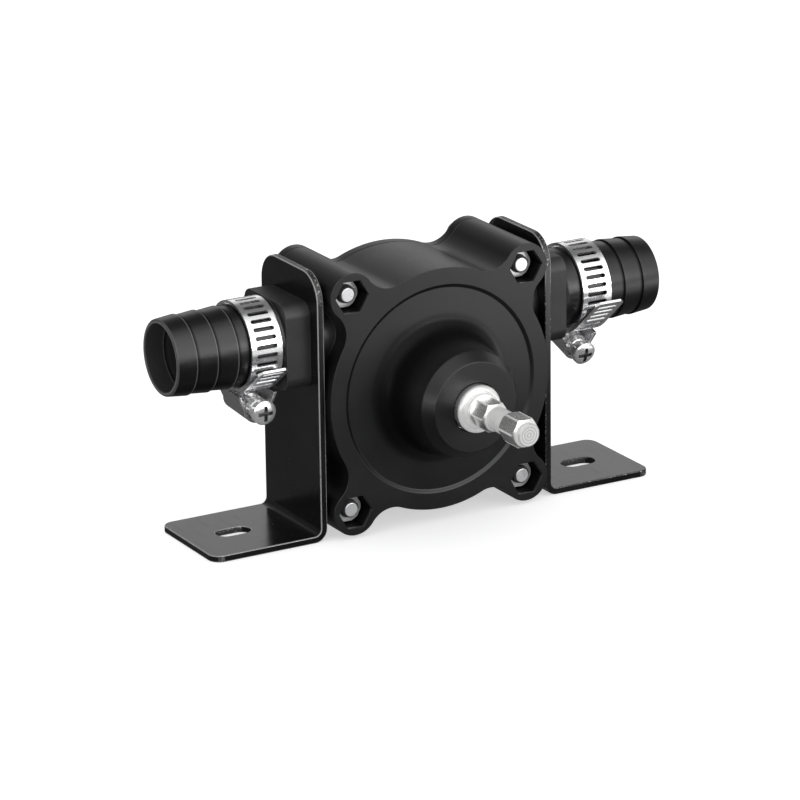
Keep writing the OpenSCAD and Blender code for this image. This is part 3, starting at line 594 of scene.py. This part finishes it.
def paint_faces(obj, test):
    """Gives the piece's second finish to every face that passes the test, but for rounded edges."""
    for polygon in obj.data.polygons:
        if polygon.material_index < 2 and test(polygon.center, polygon.normal):
            polygon.material_index = 1


def on_flange(side):
    """Test for the flange of a barb and all that lies inwards of its outer face."""
    return lambda c, n: side * c.x < FLANGE_END_X + 0.1 * MM


def sheared_face(side):
    """Test for the cut edges of a bracket, up its plate and round its foot."""

    def test(c, n):
        plate = c.z > 5 * MM and side * c.x < PLATE_OUTER_X + 0.2 * MM
        foot = abs(n.z) < 0.5 and c.z < 3 * MM
        return abs(n.x) < 0.5 and (plate or foot)

    return test


def in_recess(x, turn):
    """Test for the cross recess of a worm screw, its clamp at x, turned about the port line."""
    back = Matrix.Rotation(math.radians(-turn), 3, "X")

    def test(c, n):
        at = back @ (c - Vector((x, 0, PORT_H)))
        floor = RECESS_FLOOR - 0.1 * MM < -at.y < RECESS_FLOOR + 0.2 * MM
        wall = RECESS_FLOOR < -at.y and abs((back @ n).y) < 0.3
        return math.hypot(at.x, at.z + WORM_DROP) < RECESS_R and (floor or wall)

    return test


# Flanges of the barbs are grained, cut edges of the brackets sheared, and screw recesses take a
# painted shade
for side, name in ((-1, "left"), (1, "right")):
    paint_faces(PIECES[name + "_hose_barb"], on_flange(side))
    paint_faces(PIECES[name + "_bracket"], sheared_face(side))
    paint_faces(PIECES[name + "_clamp_screw"], in_recess(*CLAMPS[name]))


def thread_tree():
    """Spiral thread ridge, set at every point of the base mesh and turned to the shaft line."""
    tree = bpy.data.node_groups.new("spiral_thread", "GeometryNodeTree")
    face = tree.interface
    face.new_socket("Geometry", in_out="INPUT", socket_type="NodeSocketGeometry")
    for label in ("Turns", "Pitch", "Root Radius", "Ridge"):
        face.new_socket(label, in_out="INPUT", socket_type="NodeSocketFloat")
    face.new_socket("Turn", in_out="INPUT", socket_type="NodeSocketVector")
    face.new_socket("Material", in_out="INPUT", socket_type="NodeSocketMaterial")
    face.new_socket("Geometry", in_out="OUTPUT", socket_type="NodeSocketGeometry")

    def add(kind, **inputs):
        return add_node(tree, kind, {k.replace("_", " "): v for k, v in inputs.items()}).outputs[0]

    given = tree.nodes.new("NodeGroupInput").outputs
    radius = given["Root Radius"]
    spiral = add(
        "GeometryNodeCurveSpiral", Resolution=28, Rotations=given["Turns"],
        Start_Radius=radius, End_Radius=radius,
        Height=maths(tree, "MULTIPLY", given["Turns"], given["Pitch"]),
    )
    section = add("GeometryNodeCurvePrimitiveCircle", Resolution=4, Radius=given["Ridge"])
    ridge = add(
        "GeometryNodeCurveToMesh", Curve=spiral, Profile_Curve=section, Fill_Caps=True
    )
    placed = add(
        "GeometryNodeInstanceOnPoints", Points=given["Geometry"], Instance=ridge,
        Rotation=given["Turn"],
    )
    real = add("GeometryNodeRealizeInstances", Geometry=placed)
    smooth = add("GeometryNodeSetShadeSmooth", Geometry=real)
    coated = add("GeometryNodeSetMaterial", Geometry=smooth, Material=given["Material"])
    feed(tree, tree.nodes.new("NodeGroupOutput").inputs[0], coated)
    return tree


THREAD = thread_tree()


def threads(name, points, body, turn, slot, **sizes):
    """Thread ridges at the given points, as one plain mesh riding on a body."""
    mesh = bpy.data.meshes.new(name)
    mesh.from_pydata(points, [], [])
    obj = bpy.data.objects.new(name, mesh)
    bpy.context.scene.collection.objects.link(obj)
    modifier = obj.modifiers.new("thread", "NODES")
    modifier.node_group = THREAD
    values = {"Turn": turn, "Material": MATERIALS[slot]}
    values.update((key.replace("_", " "), value) for key, value in sizes.items())
    for item in THREAD.interface.items_tree:
        if item.in_out == "INPUT" and item.name in values:
            modifier[item.identifier] = values[item.name]
    settle(obj)
    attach(obj, body)


# Thread on the bolt ends that stand out of the nuts
bolt_low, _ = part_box("through_bolts")
bolt_points = [
    (sx * EAR_X, bolt_low.y + 0.55 * MM, AXIS_H + sz * EAR_Z) for sx in (-1, 1) for sz in (-1, 1)
]
threads(
    "bolt_end_threads", bolt_points, "pump_head", (math.radians(-90), 0, 0), "zinc_steel",
    Turns=2.0, Pitch=0.7 * MM, Root_Radius=2.42 * MM, Ridge=0.18 * MM,
)


def seen_ways(tree):
    """Masks of the rays: 1 for those of the camera or through glass, and 1 for mirror rays."""
    rays = add_node(tree, "ShaderNodeLightPath").outputs
    straight = maths(tree, "MAXIMUM", rays["Is Camera Ray"], rays["Is Transmission Ray"])
    return straight, rays["Is Glossy Ray"]


def plain_stage():
    """Pale floor, lifted to white for the camera and graded in mirror rays."""
    floor = bpy.data.meshes.new("studio_floor")
    size = 40.0
    corners = [(x * size, y * size, 0) for x, y in ((-1, -1), (1, -1), (1, 1), (-1, 1))]
    floor.from_pydata(corners, [], [(0, 1, 2, 3)])
    obj = bpy.data.objects.new("studio_floor", floor)
    bpy.context.scene.collection.objects.link(obj)
    obj.location.z = cad_low.z - 0.02 * MM
    material = bpy.data.materials.new("pale_floor")
    material.use_nodes = True
    tree = material.node_tree
    straight, mirrored = seen_ways(tree)
    shader = tree.nodes["Principled BSDF"]
    look = {
        "Base Color": grey(0.82, 0.01),
        "Roughness": 0.9,
        "Specular IOR Level": 0.1,
        "Emission Color": grey(1),
        "Emission Strength": maths(tree, "MULTIPLY", straight, 0.55),
    }
    for key, value in look.items():
        feed(tree, shader.inputs[key], value)
    # In mirror rays the floor is light in a patch before the pump and dim elsewhere
    place = add_node(tree, "ShaderNodeTexCoord").outputs["Object"]
    centre = (0.27, -0.26, 0)
    reach = add_node(tree, "ShaderNodeVectorMath", {0: place, 1: centre}, operation="DISTANCE")
    patch = mapped(tree, reach.outputs["Value"], 0.05, 0.26, 3.4, 0.10, "SMOOTHSTEP")
    dim = add_node(tree, "ShaderNodeEmission", {"Strength": patch})
    mix = mixed_shader(tree, mirrored, shader.outputs[0], dim.outputs[0])
    feed(tree, tree.nodes["Material Output"].inputs[0], mix)
    floor.materials.append(material)


def mirror_light(tree, way, across, up):
    """Strength of the room in mirror rays: one broad light in front, and a band behind."""
    aim = Vector((-0.10, -0.88, 0.46)).normalized()
    facing = add_node(tree, "ShaderNodeVectorMath", {0: way, 1: aim}, operation="DOT_PRODUCT")
    lobe = mapped(tree, facing.outputs["Value"], 0.22, 0.98, 0.12, 3.1, "SMOOTHSTEP")
    band = add_node(tree, "ShaderNodeFloatCurve", {"Value": up})
    points = band.mapping.curves[0].points
    points[0].location, points[1].location = (0, 0.12), (1, 0.12)
    for place in ((0.12, 0.70), (0.28, 1.0), (0.45, 0.75), (0.58, 0.35), (0.70, 0.14)):
        points.new(*place)
    band.mapping.update()
    side = mapped(tree, across, -0.4, 0.3, 0.10, 1.20)
    return maths(tree, "MAXIMUM", lobe, maths(tree, "MULTIPLY", band.outputs[0], side))


def world_light():
    """White where the camera looks, a soft grey room for the rest, graded in mirrors."""
    world = bpy.data.worlds.new("studio")
    bpy.context.scene.world = world
    world.use_nodes = True
    tree = world.node_tree
    white = tree.nodes["Background"]
    white.inputs["Color"].default_value = (1, 1, 1, 1)
    white.inputs["Strength"].default_value = 1.0
    way = add_node(tree, "ShaderNodeTexCoord").outputs["Generated"]
    across, _, up = add_node(tree, "ShaderNodeSeparateXYZ", {0: way}).outputs
    plain = mapped(tree, up, -0.2, 0.9, 0.55, 1.05)
    graded = mirror_light(tree, way, across, up)
    room, mirror = (
        add_node(tree, "ShaderNodeBackground", {"Strength": strength}).outputs[0]
        for strength in (plain, graded)
    )
    straight, mirrored = seen_ways(tree)
    shown = mixed_shader(tree, mirrored, room, mirror)
    mix = mixed_shader(tree, straight, shown, white.outputs[0])
    feed(tree, tree.nodes["World Output"].inputs[0], mix)


def softbox(name, place, aim, size, watts):
    """Rectangular area light at a place, turned to its aim."""
    data = bpy.data.lights.new(name, "AREA")
    data.shape = "RECTANGLE"
    data.size, data.size_y = size
    data.energy = watts
    obj = bpy.data.objects.new(name, data)
    bpy.context.scene.collection.objects.link(obj)
    obj.location = place
    obj.rotation_euler = (Vector(aim) - Vector(place)).to_track_quat("-Z", "Y").to_euler()


def photo_camera():
    """Camera as fitted to the photograph, in millimetres about the pump axis at the front face."""
    turn, rise, roll = (math.radians(angle) for angle in (-29.466, 18.153, -0.731))
    photo_width, sensor_width = 800, 36.0
    scale = 0.984
    distance, focal = 1273.513 * scale, 4384.094
    shift_x, shift_y = 11.959 * scale, 3.113 * scale
    back = Vector(
        (math.sin(turn) * math.cos(rise), -math.cos(turn) * math.cos(rise), math.sin(rise))
    )
    right = Vector((math.cos(turn), math.sin(turn), 0))
    up = back.cross(right)
    rolled = math.cos(roll) * right + math.sin(roll) * up
    upright = -math.sin(roll) * right + math.cos(roll) * up
    centre = Vector((0, FRONT_Y, AXIS_H))
    place = (-shift_x * rolled - shift_y * upright + distance * back) * MM + centre
    camera = bpy.data.cameras.new("photo_camera")
    camera.sensor_width = sensor_width
    camera.lens = focal * sensor_width / photo_width
    camera.clip_start, camera.clip_end = 0.05, 100
    obj = bpy.data.objects.new("photo_camera", camera)
    bpy.context.scene.collection.objects.link(obj)
    turned = Matrix((rolled, upright, back)).transposed().to_4x4()
    obj.matrix_world = Matrix.Translation(place) @ turned
    bpy.context.scene.camera = obj


plain_stage()
world_light()
softbox("left", (-1.10, -0.30, 0.12), (0, 0, 0.05), (0.5, 0.3), 1.6)
softbox("right front", (0.65, -1.15, 0.30), (0, 0, 0.05), (0.5, 0.4), 3.0)
photo_camera()
bpy.context.scene.view_settings.view_transform = "Standard"
